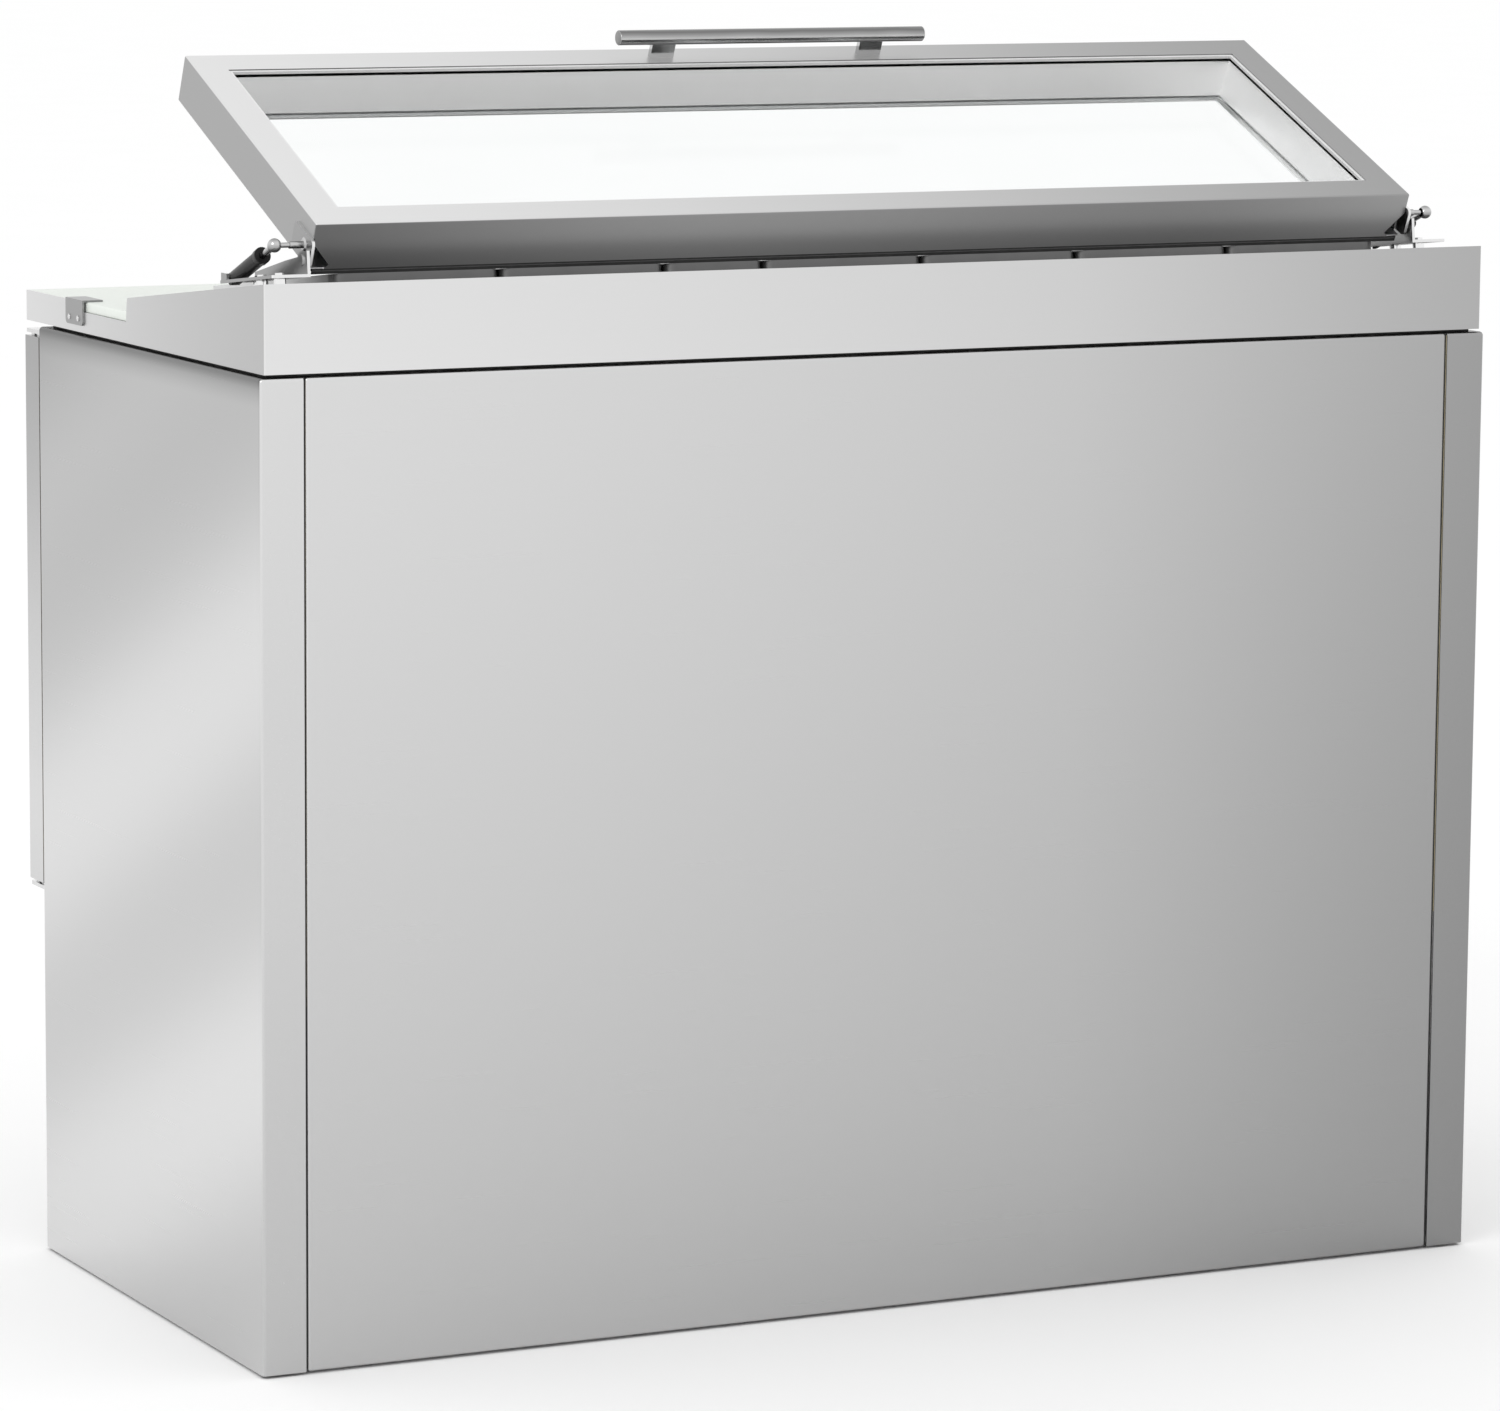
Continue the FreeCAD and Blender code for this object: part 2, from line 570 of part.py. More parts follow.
def make_hinges():
    """Angle brackets with their riveted pins, lid arms and ball studs."""
    inner, outer = bracket_inner, bracket_inner + bracket_foot
    foot_top = bracket_foot_height + bracket_sheet
    foot = box(inner, outer, -bracket_length, -bracket_start, bracket_foot_height, foot_top)
    foot = round_edges(foot, 3.0, lambda m, d: abs(d.z) > 0.9 and m.x > outer - 1)
    strut_x = inner + stud_length
    foot = foot.cut(box(strut_x - strut_tube_radius - 1, strut_x + strut_tube_radius + 1,
                        -bracket_length - 1, -bracket_slot_start, 0, foot_top + 1))
    leg_points = [(-bracket_start, bracket_foot_height), (-bracket_length, bracket_foot_height),
                  (-bracket_length, bracket_foot_height + 10), (-70, 24), (-40, 26), (-34, 31),
                  (-bracket_start, 31)]
    leg = extrude_profile(leg_points, inner, inner + bracket_sheet)
    bracket = on_slope(foot.fuse(leg).removeSplitter())
    tab_height = 16.0
    anchor = strut_anchor()
    tab_x = strut_x + strut_tube_radius + 0.6
    tab = box(tab_x, tab_x + bracket_sheet, anchor.y - 7, anchor.y + 7, anchor.z - tab_height, anchor.z + 6)
    slope_block = on_slope(box(0, width, -body_depth, 0, -60, bracket_foot_height))
    tab = tab.cut(slope_block)
    pin = rod((tab_x - anchor_pin_length, anchor.y, anchor.z), (1, 0, 0), anchor_pin_radius,
              anchor_pin_length + bracket_sheet)
    bracket = bracket.fuse(tab).fuse(pin).removeSplitter()
    hinge_pin = rod((lid_half, pivot.y, pivot.z), (1, 0, 0), pin_radius, inner + bracket_sheet + 1 - lid_half)
    pin_head = rod((inner + bracket_sheet, pivot.y, pivot.z), (1, 0, 0), pin_radius + 2, 1.5)
    bracket = fuse([bracket, hinge_pin, pin_head])
    bolts = []
    axis = (0, -math.sin(slope), math.cos(slope))
    for across, along in bolt_places:
        x = inner + across
        base = slope_point(x, along, -8)
        bracket = bracket.cut(rod(tuple(base), axis, bolt_radius, 30))
        shank = rod(tuple(base), axis, bolt_radius, 8 + foot_top)
        collar = rod(tuple(slope_point(x, along, 0)), axis, 6.0, bracket_foot_height)
        head = rod(tuple(slope_point(x, along, foot_top)), axis, 4.5, 2.5)
        bolts.append(fuse([shank, collar, head]))
    nodes["hinge_brackets"] = group([bracket, mirror_x(bracket)])
    nodes["bracket_bolts"] = group(bolts + [mirror_x(b) for b in bolts])

    arm_x0, arm_x1 = lid_half, lid_half + 3.0
    plate = box(arm_x0, arm_x1, -42, 6, 3, 32)
    plate = round_edges(plate, 5.0, lambda m, d: abs(d.x) > 0.9)
    plate = on_lid(plate)
    plate = plate.cut(rod((arm_x0 - 1, pivot.y, pivot.z), (1, 0, 0), pin_radius + running, 6))
    ball = lid_point(0, ball_forward, ball_up)
    plate = plate.cut(rod((arm_x0 - 1, ball.y, ball.z), (1, 0, 0), stud_neck, 6))
    nodes["lid_arms"] = group([plate, mirror_x(plate)])
    ball_x = bracket_inner + stud_length
    stud = rod((arm_x0, ball.y, ball.z), (1, 0, 0), stud_neck, ball_x - arm_x0)
    flare = Part.makeCone(7.0, 5.0, 1.5, Vector(arm_x1, ball.y, ball.z), Vector(1, 0, 0))
    shank = rod((arm_x1 + 1, ball.y, ball.z), (1, 0, 0), stud_neck + 1, 14.0)
    sphere = Part.makeSphere(ball_radius, Vector(ball_x, ball.y, ball.z))
    stud = fuse([stud, flare, shank, sphere])
    nodes["ball_studs"] = group([stud, mirror_x(stud)])


def strut_anchor():
    """Lower pivot of the right-hand gas strut."""
    ball = lid_point(bracket_inner + stud_length, ball_forward, ball_up)
    return Vector(ball.x, ball.y - strut_reach, ball.z - strut_drop)


def make_struts():
    """Gas struts: an outer tube with an eye, and a rod with piston and ball socket."""
    anchor = strut_anchor()
    ball = lid_point(bracket_inner + stud_length, ball_forward, ball_up)
    line = ball - anchor
    reach = line.Length
    direction = line.normalize()
    start = anchor + direction * 5.0
    bore = strut_tube_radius - 1.2
    tube = Part.makeCylinder(strut_tube_radius, strut_tube_length - 5, start, direction)
    cavity = Part.makeCylinder(bore, strut_tube_length - 5 - 8, start + direction * 4, direction)
    guide = Part.makeCylinder(strut_rod_radius + running, strut_tube_length, start + direction * 4, direction)
    eye = Part.makeCylinder(6.0, 9.0, anchor - Vector(4.5, 0, 0), Vector(1, 0, 0))
    neck = Part.makeCylinder(3.0, 8.0, anchor, direction)
    tube = fuse([tube, eye, neck]).cut(cavity).cut(guide)
    tube = tube.cut(Part.makeCylinder(anchor_pin_radius + running, 30.0, anchor - Vector(15, 0, 0), Vector(1, 0, 0)))
    rod_start = start + direction * 35
    rod_length = reach - 40.0 - socket_radius + 1.5
    shaft = Part.makeCylinder(strut_rod_radius, rod_length, rod_start, direction)
    piston = Part.makeCylinder(bore - running, 8.0, rod_start, direction)
    socket = Part.makeSphere(socket_radius, ball)
    cavity = Part.makeSphere(ball_radius + socket_clearance, ball)
    mouth = Part.makeCylinder(stud_neck + 2.0, socket_radius + 2, ball, Vector(-1, 0, 0))
    stem = fuse([shaft, piston, socket]).cut(cavity).cut(mouth)
    nodes["strut_tube_right"] = tube
    nodes["strut_tube_left"] = mirror_x(tube)
    nodes["strut_rod_right"] = stem
    nodes["strut_rod_left"] = mirror_x(stem)


def centre_lid_on_well():
    """Moves the lid, its hinge and its struts sideways to the middle of the well."""
    for name in list(nodes):
        if name.startswith(("lid_", "strut_")) or name in ("hinge_brackets", "bracket_bolts", "ball_studs"):
            moved = nodes[name].copy()
            moved.translate(Vector(well_shift, 0, 0))
            nodes[name] = moved


def make_door(number, centre, hinge_side):
    """Insulated door: a folded skin with a pressed grip, a foam core and a magnetic seal."""
    x0, x1 = centre - door_width / 2, centre + door_width / 2
    skin_block = box(x0, x1, door_front_y, door_back_y, door_bottom, door_top)
    skin_block = round_edges(skin_block, 3.0, lambda m, d: abs(m.y - door_front_y) < 1e-6)
    core = box(x0 + sheet, x1 - sheet, door_front_y + sheet, door_back_y, door_bottom + sheet, door_top - sheet)
    free = -hinge_side
    edge = x1 if free > 0 else x0
    grip_w, grip_h, grip_d, grip_in, lip = 34.0, 140.0, 24.0, 26.0, 12.0
    middle_z = (door_bottom + door_top) / 2 + 90
    near, far = edge - free * grip_in, edge - free * (grip_in + grip_w)
    low, high = min(near, far), max(near, far)
    pocket = box(low, high, door_front_y + sheet, door_front_y + grip_d, middle_z - grip_h / 2, middle_z + grip_h / 2)
    window_near = edge - free * (grip_in + lip)
    wl, wh = min(window_near, far), max(window_near, far)
    window = box(wl + 2, wh - 2, door_front_y - 1, door_front_y + grip_d - 3, middle_z - grip_h / 2 + 2,
                 middle_z + grip_h / 2 - 2)
    cup_hollow = box(low + 2, high - 2, door_front_y + sheet - 1, door_front_y + grip_d - 2,
                     middle_z - grip_h / 2 + 2, middle_z + grip_h / 2 - 2)
    core = core.cut(pocket)
    skin = skin_block.cut(box(x0 + sheet, x1 - sheet, door_front_y + sheet, door_back_y + 1,
                              door_bottom + sheet, door_top - sheet)).cut(window)
    pin_x = (x0 if hinge_side < 0 else x1) - hinge_side * hinge_inset
    pin_y = door_front_y + hinge_inset
    for z0 in (door_bottom - 1, door_top - door_pin_depth - 1):
        hole = rod((pin_x, pin_y, z0), (0, 0, 1), door_pin_radius + running, door_pin_depth + 2)
        core = core.cut(hole)
        skin = skin.cut(hole)
    skin = skin.fuse(pocket.cut(cup_hollow)).removeSplitter()
    nodes["door_%d_skin" % number] = skin
    nodes["door_%d_core" % number] = core
    g0, g1 = door_back_y, y_front - gasket_clear
    ring = box(x0 + gasket_inset, x1 - gasket_inset, g0, g1, door_bottom + gasket_inset, door_top - gasket_inset)
    ring = round_edges(ring, 6.0, lambda m, d: abs(d.y) > 0.9)
    edge_in = gasket_inset + gasket_width
    hole = box(x0 + edge_in, x1 - edge_in, g0 - 1, g1 + 1, door_bottom + edge_in, door_top - edge_in)
    nodes["door_%d_seal" % number] = ring.cut(hole)
    plates = []
    for end in (-1, 1):
        z_pin = door_bottom if end < 0 else door_top
        stand = 3.0
        z0 = z_pin - stand - hinge_plate if end < 0 else z_pin + stand
        outer_x = pin_x + hinge_side * (hinge_inset - 1)
        reach = pin_x - hinge_side * 22
        plate = box(min(outer_x, reach), max(outer_x, reach), pin_y - 6, y_front, z0, z0 + hinge_plate)
        plate = round_edges(plate, 3.0, lambda m, d: abs(d.z) > 0.9 and m.y < pin_y)
        pin_start = z0 if end < 0 else z_pin - door_pin_depth + 1
        length = stand + hinge_plate + door_pin_depth - 1
        pin = rod((pin_x, pin_y, pin_start), (0, 0, 1), door_pin_radius, length)
        plates.append(plate.fuse(pin).removeSplitter())
    return plates


def make_doors():
    """Three doors and the pivot brackets that carry them."""
    plates = []
    for number, centre, hinge_side in ((1, -door_pitch, -1), (2, 0, -1), (3, door_pitch, 1)):
        plates += make_door(number, centre, hinge_side)
    nodes["door_pivots"] = group(plates)


def make_shelves():
    """Three wire shelves on runners that join the face frame to the back wall."""
    shelf_width, wire, cross = 380.0, 4.0, 6.0
    bays = (-door_pitch + 12, 0, door_pitch - 12)
    shelves = []
    for bay in bays:
        x0, x1 = bay - shelf_width / 2, bay + shelf_width / 2
        y0, y1 = shelf_y
        z = shelf_level
        parts = [box(x0, x1, y0, y0 + cross, z, z + cross), box(x0, x1, y1 - cross, y1, z, z + cross),
                 box(x0, x0 + cross, y0, y1, z, z + cross), box(x1 - cross, x1, y0, y1, z, z + cross)]
        count = 14
        for i in range(1, count):
            x = x0 + i * shelf_width / count
            parts.append(box(x - wire / 2, x + wire / 2, y0, y1, z + cross - wire, z + cross))
        shelves.append(fuse(parts))
    nodes["shelves"] = group(shelves)
    runners = []
    leg, thick = 14.0, 1.5
    for bay in bays:
        for side in (-1, 1):
            x = bay + side * (shelf_width / 2)
            inner = x - side * leg
            outer = x + side * thick
            flat = box(min(inner, outer), max(inner, outer), liner_front_y, liner_back_y - liner_sheet,
                       shelf_level - thick, shelf_level)
            up = box(min(x, outer), max(x, outer), liner_front_y,
                     liner_back_y - liner_sheet, shelf_level, shelf_level + leg)
            runners.append(flat.fuse(up).removeSplitter())
    nodes["shelf_runners"] = group(runners)


def make_fan(centre, radius, hub, thickness, blades, name):
    """Axial fan turning about Y: a hub and pitched blades."""
    x, y, z = centre
    hub_shape = rod((x, y - thickness / 2, z), (0, 1, 0), hub, thickness)
    pieces = [hub_shape]
    for i in range(blades):
        blade = box(hub - 4, radius, -1.2, 1.2, -radius * 0.28, radius * 0.28)
        blade.rotate(Vector(0, 0, 0), Vector(1, 0, 0), 20)
        blade.rotate(Vector(0, 0, 0), Vector(0, 1, 0), i * 360.0 / blades)
        blade.translate(Vector(x, y, z))
        pieces.append(blade)
    fan = fuse(pieces)
    bore = rod((x, y - thickness, z), (0, 1, 0), fan_shaft + running, thickness * 2)
    nodes[name] = fan.cut(bore)


def make_evaporator():
    """Forced-air cooler on the cabinet's back wall."""
    x0, x1 = -210.0, 210.0
    y1 = liner_back_y - liner_sheet
    y0 = y1 - 90
    z0, z1 = 690.0, 850.0
    skin = 1.5
    shell = box(x0, x1, y0, y1, z0, z1)
    hollow = box(x0 + skin, x1 - skin, y0 + skin, y1 + 1, z0 + skin, z1 - skin)
    fan_z = (z0 + z1) / 2
    mouth = rod((0, y0 - 5, fan_z), (0, 1, 0), 66.0, 20)
    shell = shell.cut(hollow).cut(mouth)
    for i in range(9):
        z = z0 + 20 + i * 14
        for side in (-1, 1):
            shell = shell.cut(box(min(side * 90, side * 190), max(side * 90, side * 190), y0 - 5, y0 + 5, z, z + 6))
    nodes["evaporator_housing"] = shell
    core = box(x0 + 14, x1 - 14, y1 - 42, y1, z0 + 12, z1 - 12)
    for i in range(24):
        x = x0 + 22 + i * 16
        core = core.cut(box(x, x + 5, y1 - 43, y1 - 14, z0 + 10, z1 - 10))
    motor = rod((0, y1 - 60, fan_z), (0, 1, 0), 22.0, 18.5)
    shaft = rod((0, y0 + 6, fan_z), (0, 1, 0), fan_shaft, y1 - 60 - y0 - 6)
    nodes["evaporator_coil"] = fuse([core, motor, shaft])
    make_fan((0, y0 + 14, fan_z), 60.0, 16.0, 12.0, 5, "evaporator_fan")


def make_machine_room():
    """Compressor, condenser with its fan, drip tray, louvred front and controls."""
    floor = foot_proud + base_sheet
    cx, cy = 40.0, 60.0
    feet = box(cx - 110, cx + 110, cy - 70, cy + 70, floor + 12, floor + 15)
    pot = rod((cx, cy, floor + 15), (0, 0, 1), 78.0, 120)
    dome = Part.makeSphere(78.0, Vector(cx, cy, 0))
    dome.translate(Vector(0, 0, floor + 15 + 120 - 40))
    dome = dome.cut(box(cx - 100, cx + 100, cy - 100, cy + 100, floor - 200, floor + 15 + 60))
    terminal = box(cx + 70, cx + 98, cy - 26, cy + 26, floor + 50, floor + 105)
    grommets = []
    for sx in (-1, 1):
        for sy in (-1, 1):
            grommets.append(rod((cx + sx * 95, cy + sy * 55, floor), (0, 0, 1), 9.0, 12))
    nodes["compressor"] = fuse([feet, pot, dome, terminal] + grommets)

    c0, c1 = 180.0, 480.0
    y0, y1 = y_front + 30, y_front + 80
    z0, z1 = floor + 14, 330.0
    block = box(c0, c1, y0, y1, z0, z1)
    for i in range(23):
        x = c0 + 12 + i * 12.2
        block = block.cut(box(x, x + 7, y0 - 1, y0 + 30, z0 + 8, z1 - 8))
    ends = []
    for i in range(5):
        z = z0 + 34 + i * 58
        for x, a in ((c0, -1), (c1, 1)):
            bend = Part.makeTorus(14.0, 4.0, Vector(x, y1 - 12, z), Vector(0, 1, 0))
            keep = box(min(x, x + a * 30), max(x, x + a * 30), y0, y1, z - 30, z + 30)
            ends.append(bend.common(keep))
    legs = [box(x, x + 12, y0, y1, floor, z0) for x in (c0 + 10, c1 - 22)]
    nodes["condenser"] = fuse([block] + ends + legs)
    fan_x, fan_z = (c0 + c1) / 2, (z0 + z1) / 2
    shroud = box(c0, c1, y1, y1 + 30, z0, z1)
    shroud = shroud.cut(box(c0 + 2, c1 - 2, y1 - 1, y1 + 28, z0 + 2, z1 - 2))
    shroud = shroud.cut(rod((fan_x, y1, fan_z), (0, 1, 0), 122.0, 60))
    spider = [box(fan_x - 130, fan_x + 130, y1 + 28, y1 + 34, fan_z - 5, fan_z + 5),
              box(fan_x - 5, fan_x + 5, y1 + 28, y1 + 34, fan_z - 130, fan_z + 130)]
    motor = rod((fan_x, y1 + 28, fan_z), (0, 1, 0), 32.0, 40)
    shaft = rod((fan_x, y1 + 6, fan_z), (0, 1, 0), fan_shaft, 24)
    nodes["condenser_shroud"] = fuse([shroud, motor, shaft] + spider)
    make_fan((fan_x, y1 + 14.5, fan_z), 112.0, 26.0, 16.0, 5, "condenser_fan")

    tray = box(-420, -140, 40, 240, floor, floor + 40)
    nodes["drip_tray"] = tray.cut(box(-418, -142, 42, 238, floor + 2, floor + 41))

    g_half = return_inner
    fold = 14.0
    grille = box(-g_half, g_half, y_front, y_front + fold, foot_proud + base_flange + 1, machine_top - 0.5)
    grille = round_edges(grille, 2.0, lambda m, d: abs(m.y - y_front) < 1e-6)
    grille = grille.cut(box(-g_half + sheet, g_half - sheet, y_front + sheet, y_front + fold + 1,
                            foot_proud + base_flange + 1 + sheet, machine_top - 0.5 - sheet))
    for i in range(14):
        z = 70 + i * 18
        grille = grille.cut(box(c0 - 10, c1 + 10, y_front - 1, y_front + 5, z, z + 7))
        grille = grille.cut(box(-g_half + 260, -g_half + 560, y_front - 1, y_front + 5, z, z + 7))
    p0, p1 = -g_half + 50, -g_half + 210
    q0, q1 = 220.0, 320.0
    grille = grille.cut(box(p0, p1, y_front - 1, y_front + 5, q0, q1))
    nodes["front_grille"] = grille

    bezel_front = y_front - 1.5
    panel = box(p0, p1, bezel_front, y_front + 18, q0, q1)
    panel = round_edges(panel, 3.0, lambda m, d: abs(m.y - bezel_front) < 1e-6)
    lcd = (p0 + 14, p0 + 84, q0 + 46, q0 + 82)
    panel = panel.cut(box(lcd[0], lcd[1], bezel_front - 1, bezel_front + 3, lcd[2], lcd[3]))
    nodes["display_window"] = box(lcd[0], lcd[1], bezel_front + 0.5, bezel_front + 3, lcd[2], lcd[3])
    key = 12.0
    x, z, gap = p0 + 49, q0 + 24, 0.4
    well = box(x - key / 2 - gap, x + key / 2 + gap, bezel_front - 1, bezel_front + 9,
               z - key / 2 - gap, z + key / 2 + gap)
    panel = panel.cut(well)
    cap = box(x - key / 2, x + key / 2, bezel_front - 2, bezel_front + 5, z - key / 2, z + key / 2)
    nodes["set_key"] = round_edges(cap, 1.2, lambda m, d: abs(m.y - bezel_front + 2) < 1e-6)
    rx, rz = p1 - 34, (q0 + q1) / 2
    rw, rh = 22.0, 34.0
    panel = panel.cut(box(rx - rw / 2 - 0.6, rx + rw / 2 + 0.6, bezel_front - 1, bezel_front + 14,
                          rz - rh / 2 - 1.2, rz + rh / 2 + 1.2))
    rocker = box(rx - rw / 2, rx + rw / 2, bezel_front - 2, bezel_front + 7, rz - rh / 2, rz + rh / 2)
    rocker = round_edges(rocker, 1.5, lambda m, d: abs(m.y - bezel_front + 2) < 1e-6)
    axle_y = bezel_front + 6
    rocker = rocker.cut(rod((rx - 30, axle_y - 2, rz), (1, 0, 0), 1.5 + running, 60))
    axle = rod((rx - rw / 2 - 1, axle_y - 2, rz), (1, 0, 0), 1.5, rw + 2)
    nodes["rocker_switch"] = rocker
    nodes["control_panel"] = panel.fuse(axle).removeSplitter()


make_cabinet_shell()
make_inlet()
make_insulation()
make_front_frame()
make_rim()
make_board()
make_well()
make_lid()
make_lid_handle()
make_hinges()
make_struts()
centre_lid_on_well()
make_doors()
make_shelves()
make_evaporator()
make_machine_room()

os.makedirs("parts", exist_ok=True)
for name, shape in nodes.items():
    shape.exportStep("parts/%s.step" % name)
    whole = "valid" if shape.isValid() else "NOT VALID"
    print("%-22s %2d solids %12.0f mm3 %s" % (name, len(shape.Solids), shape.Volume, whole))
anchor = strut_anchor()
ball = lid_point(bracket_inner + stud_length, ball_forward, ball_up)
print("nodes", len(nodes))
print("pivot", pivot, "closing angle", close_angle)
print("strut anchor", anchor, "ball", ball)
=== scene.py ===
import json
import math

import bmesh
import bpy
from mathutils import Matrix, Vector


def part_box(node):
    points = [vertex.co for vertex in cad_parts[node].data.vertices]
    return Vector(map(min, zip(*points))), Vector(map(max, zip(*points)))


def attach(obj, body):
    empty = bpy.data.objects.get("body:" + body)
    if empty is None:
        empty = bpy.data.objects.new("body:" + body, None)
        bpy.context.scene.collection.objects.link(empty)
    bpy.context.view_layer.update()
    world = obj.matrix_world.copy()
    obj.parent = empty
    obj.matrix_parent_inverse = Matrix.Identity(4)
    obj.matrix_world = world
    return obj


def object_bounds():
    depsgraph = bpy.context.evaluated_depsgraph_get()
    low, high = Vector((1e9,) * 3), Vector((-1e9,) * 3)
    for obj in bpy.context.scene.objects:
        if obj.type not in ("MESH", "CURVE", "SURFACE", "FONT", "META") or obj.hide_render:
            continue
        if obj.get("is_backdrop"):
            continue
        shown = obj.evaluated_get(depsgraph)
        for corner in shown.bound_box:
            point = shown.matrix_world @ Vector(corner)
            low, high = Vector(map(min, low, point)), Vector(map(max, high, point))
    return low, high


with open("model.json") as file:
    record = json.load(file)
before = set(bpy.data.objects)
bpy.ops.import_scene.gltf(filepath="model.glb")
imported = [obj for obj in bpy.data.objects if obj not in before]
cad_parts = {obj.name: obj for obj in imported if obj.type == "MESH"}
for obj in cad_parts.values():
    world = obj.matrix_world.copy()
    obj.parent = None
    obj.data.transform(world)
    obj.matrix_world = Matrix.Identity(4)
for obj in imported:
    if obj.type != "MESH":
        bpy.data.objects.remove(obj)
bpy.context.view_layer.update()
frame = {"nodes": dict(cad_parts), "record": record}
nodes = frame["nodes"]

# ---------------------------------------------------------------- node helpers


def new_material(name):
    """Empty node material with a Principled shader already joined to its output."""
    material = bpy.data.materials.new(name)
    material.use_nodes = True
    tree = material.node_tree
    tree.nodes.clear()
    output = tree.nodes.new("ShaderNodeOutputMaterial")
    shader = tree.nodes.new("ShaderNodeBsdfPrincipled")
    tree.links.new(shader.outputs["BSDF"], output.inputs["Surface"])
    return material, tree, shader


def object_position(tree):
    return tree.nodes.new("ShaderNodeTexCoord").outputs["Object"]


def stretched(tree, scale):
    """Object position stretched by a scale on each axis."""
    mapping = tree.nodes.new("ShaderNodeMapping")
    mapping.inputs["Scale"].default_value = scale
    tree.links.new(object_position(tree), mapping.inputs["Vector"])
    return mapping.outputs["Vector"]


def noise(tree, vector, scale, detail=2.0, rough=0.5, distortion=0.0):
    node = tree.nodes.new("ShaderNodeTexNoise")
    node.inputs["Scale"].default_value = scale
    node.inputs["Detail"].default_value = detail
    node.inputs["Roughness"].default_value = rough
    node.inputs["Distortion"].default_value = distortion
    tree.links.new(vector, node.inputs["Vector"])
    return node.outputs["Fac"]


def mapped(tree, value, low, high, to_low, to_high):
    node = tree.nodes.new("ShaderNodeMapRange")
    node.inputs["From Min"].default_value = low
    node.inputs["From Max"].default_value = high
    node.inputs["To Min"].default_value = to_low
    node.inputs["To Max"].default_value = to_high
    tree.links.new(value, node.inputs["Value"])
    return node.outputs["Result"]


def calculated(tree, operation, first, second=None):
    """Result of a math node; "first" is a socket and "second" a socket or a number."""
    node = tree.nodes.new("ShaderNodeMath")
    node.operation = operation
    tree.links.new(first, node.inputs[0])
    if isinstance(second, (int, float)):
        node.inputs[1].default_value = second
    elif second is not None:
        tree.links.new(second, node.inputs[1])
    return node.outputs["Value"]


def dot(tree, output, direction):
    """Share of an object-space vector, "Object" or "Normal", along a direction."""
    node = tree.nodes.new("ShaderNodeVectorMath")
    node.operation = "DOT_PRODUCT"
    node.inputs[1].default_value = direction
    tree.links.new(tree.nodes.new("ShaderNodeTexCoord").outputs[output], node.inputs[0])
    return node.outputs["Value"]


def ramp(tree, value, stops):
    """Colour ramp from (position, colour) stops."""
    node = tree.nodes.new("ShaderNodeValToRGB")
    elements = node.color_ramp.elements
    node.color_ramp.interpolation = "B_SPLINE"
    while len(elements) < len(stops):
        elements.new(0.5)
    for element, (place, colour) in zip(elements, stops):
        element.position = place
        element.color = (*colour, 1.0)
    tree.links.new(value, node.inputs["Fac"])
    return node.outputs["Color"]


def bump(tree, shader, height, strength, distance=0.001):
    node = tree.nodes.new("ShaderNodeBump")
    node.inputs["Strength"].default_value = strength
    node.inputs["Distance"].default_value = distance
    tree.links.new(height, node.inputs["Height"])
    tree.links.new(node.outputs["Normal"], shader.inputs["Normal"])


def grey(tone, warm=0.0):
    return (tone * (1 + warm), tone, tone * (1 - warm))


# ---------------------------------------------------------------- materials

tone_gain = 0.96
across, back, top = (1, 0, 0), (0, 1, 0), (0, 0, 1)
lid_back, lid_top = (0, 0.92, -0.392), (0, 0.392, 0.92)


def level(value):
    """Linear reflectance for a grey of 0 to 255 as it shows on a screen."""
    share = value / 255.0
    return ((share + 0.055) / 1.055) ** 2.4 * tone_gain


def graded(tree, value, stops):
    """Colour ramp over a value from (value, reflectance) stops."""
    first, last = stops[0][0], stops[-1][0]
    place = mapped(tree, value, first, last, 0, 1)
    return ramp(tree, place, [((at - first) / (last - first), grey(tone)) for at, tone in stops])


def tones_along(tree, direction, stops):
    """Grey tones from stops of (distance along a direction, grey of 0 to 255)."""
    return graded(tree, dot(tree, "Object", direction), [(at, level(tone)) for at, tone in stops])


def fade_along(tree, direction, stops):
    """Share of light kept, from stops of (distance along a direction, share)."""
    return graded(tree, dot(tree, "Object", direction), stops)


def wave_along(tree, direction, crest, spacing, dark, light):
    """Broad light and dark waves of painted reflection along a direction, with one crest at a given
    distance.
    """
    from_crest = calculated(tree, "SUBTRACT", dot(tree, "Object", direction), crest)
    wave = calculated(tree, "COSINE", calculated(tree, "MULTIPLY", from_crest, 2 * math.pi / spacing))
    return graded(tree, wave, [(-1.0, level(dark)), (1.0, level(light))])


def facing(tree, direction, start=0.45, end=0.75):
    """Factor that is 1 on faces turned towards a direction of the object."""
    return mapped(tree, dot(tree, "Normal", direction), start, end, 0, 1)


def blend(tree, factor, first, second):
    node = tree.nodes.new("ShaderNodeMix")
    node.data_type = "RGBA"
    tree.links.new(factor, node.inputs[0])
    tree.links.new(first, node.inputs[6])
    tree.links.new(second, node.inputs[7])
    return node.outputs[2]


def times(tree, first, second):
    node = tree.nodes.new("ShaderNodeVectorMath")
    node.operation = "MULTIPLY"
    tree.links.new(first, node.inputs[0])
    tree.links.new(second, node.inputs[1])
    return node.outputs["Vector"]


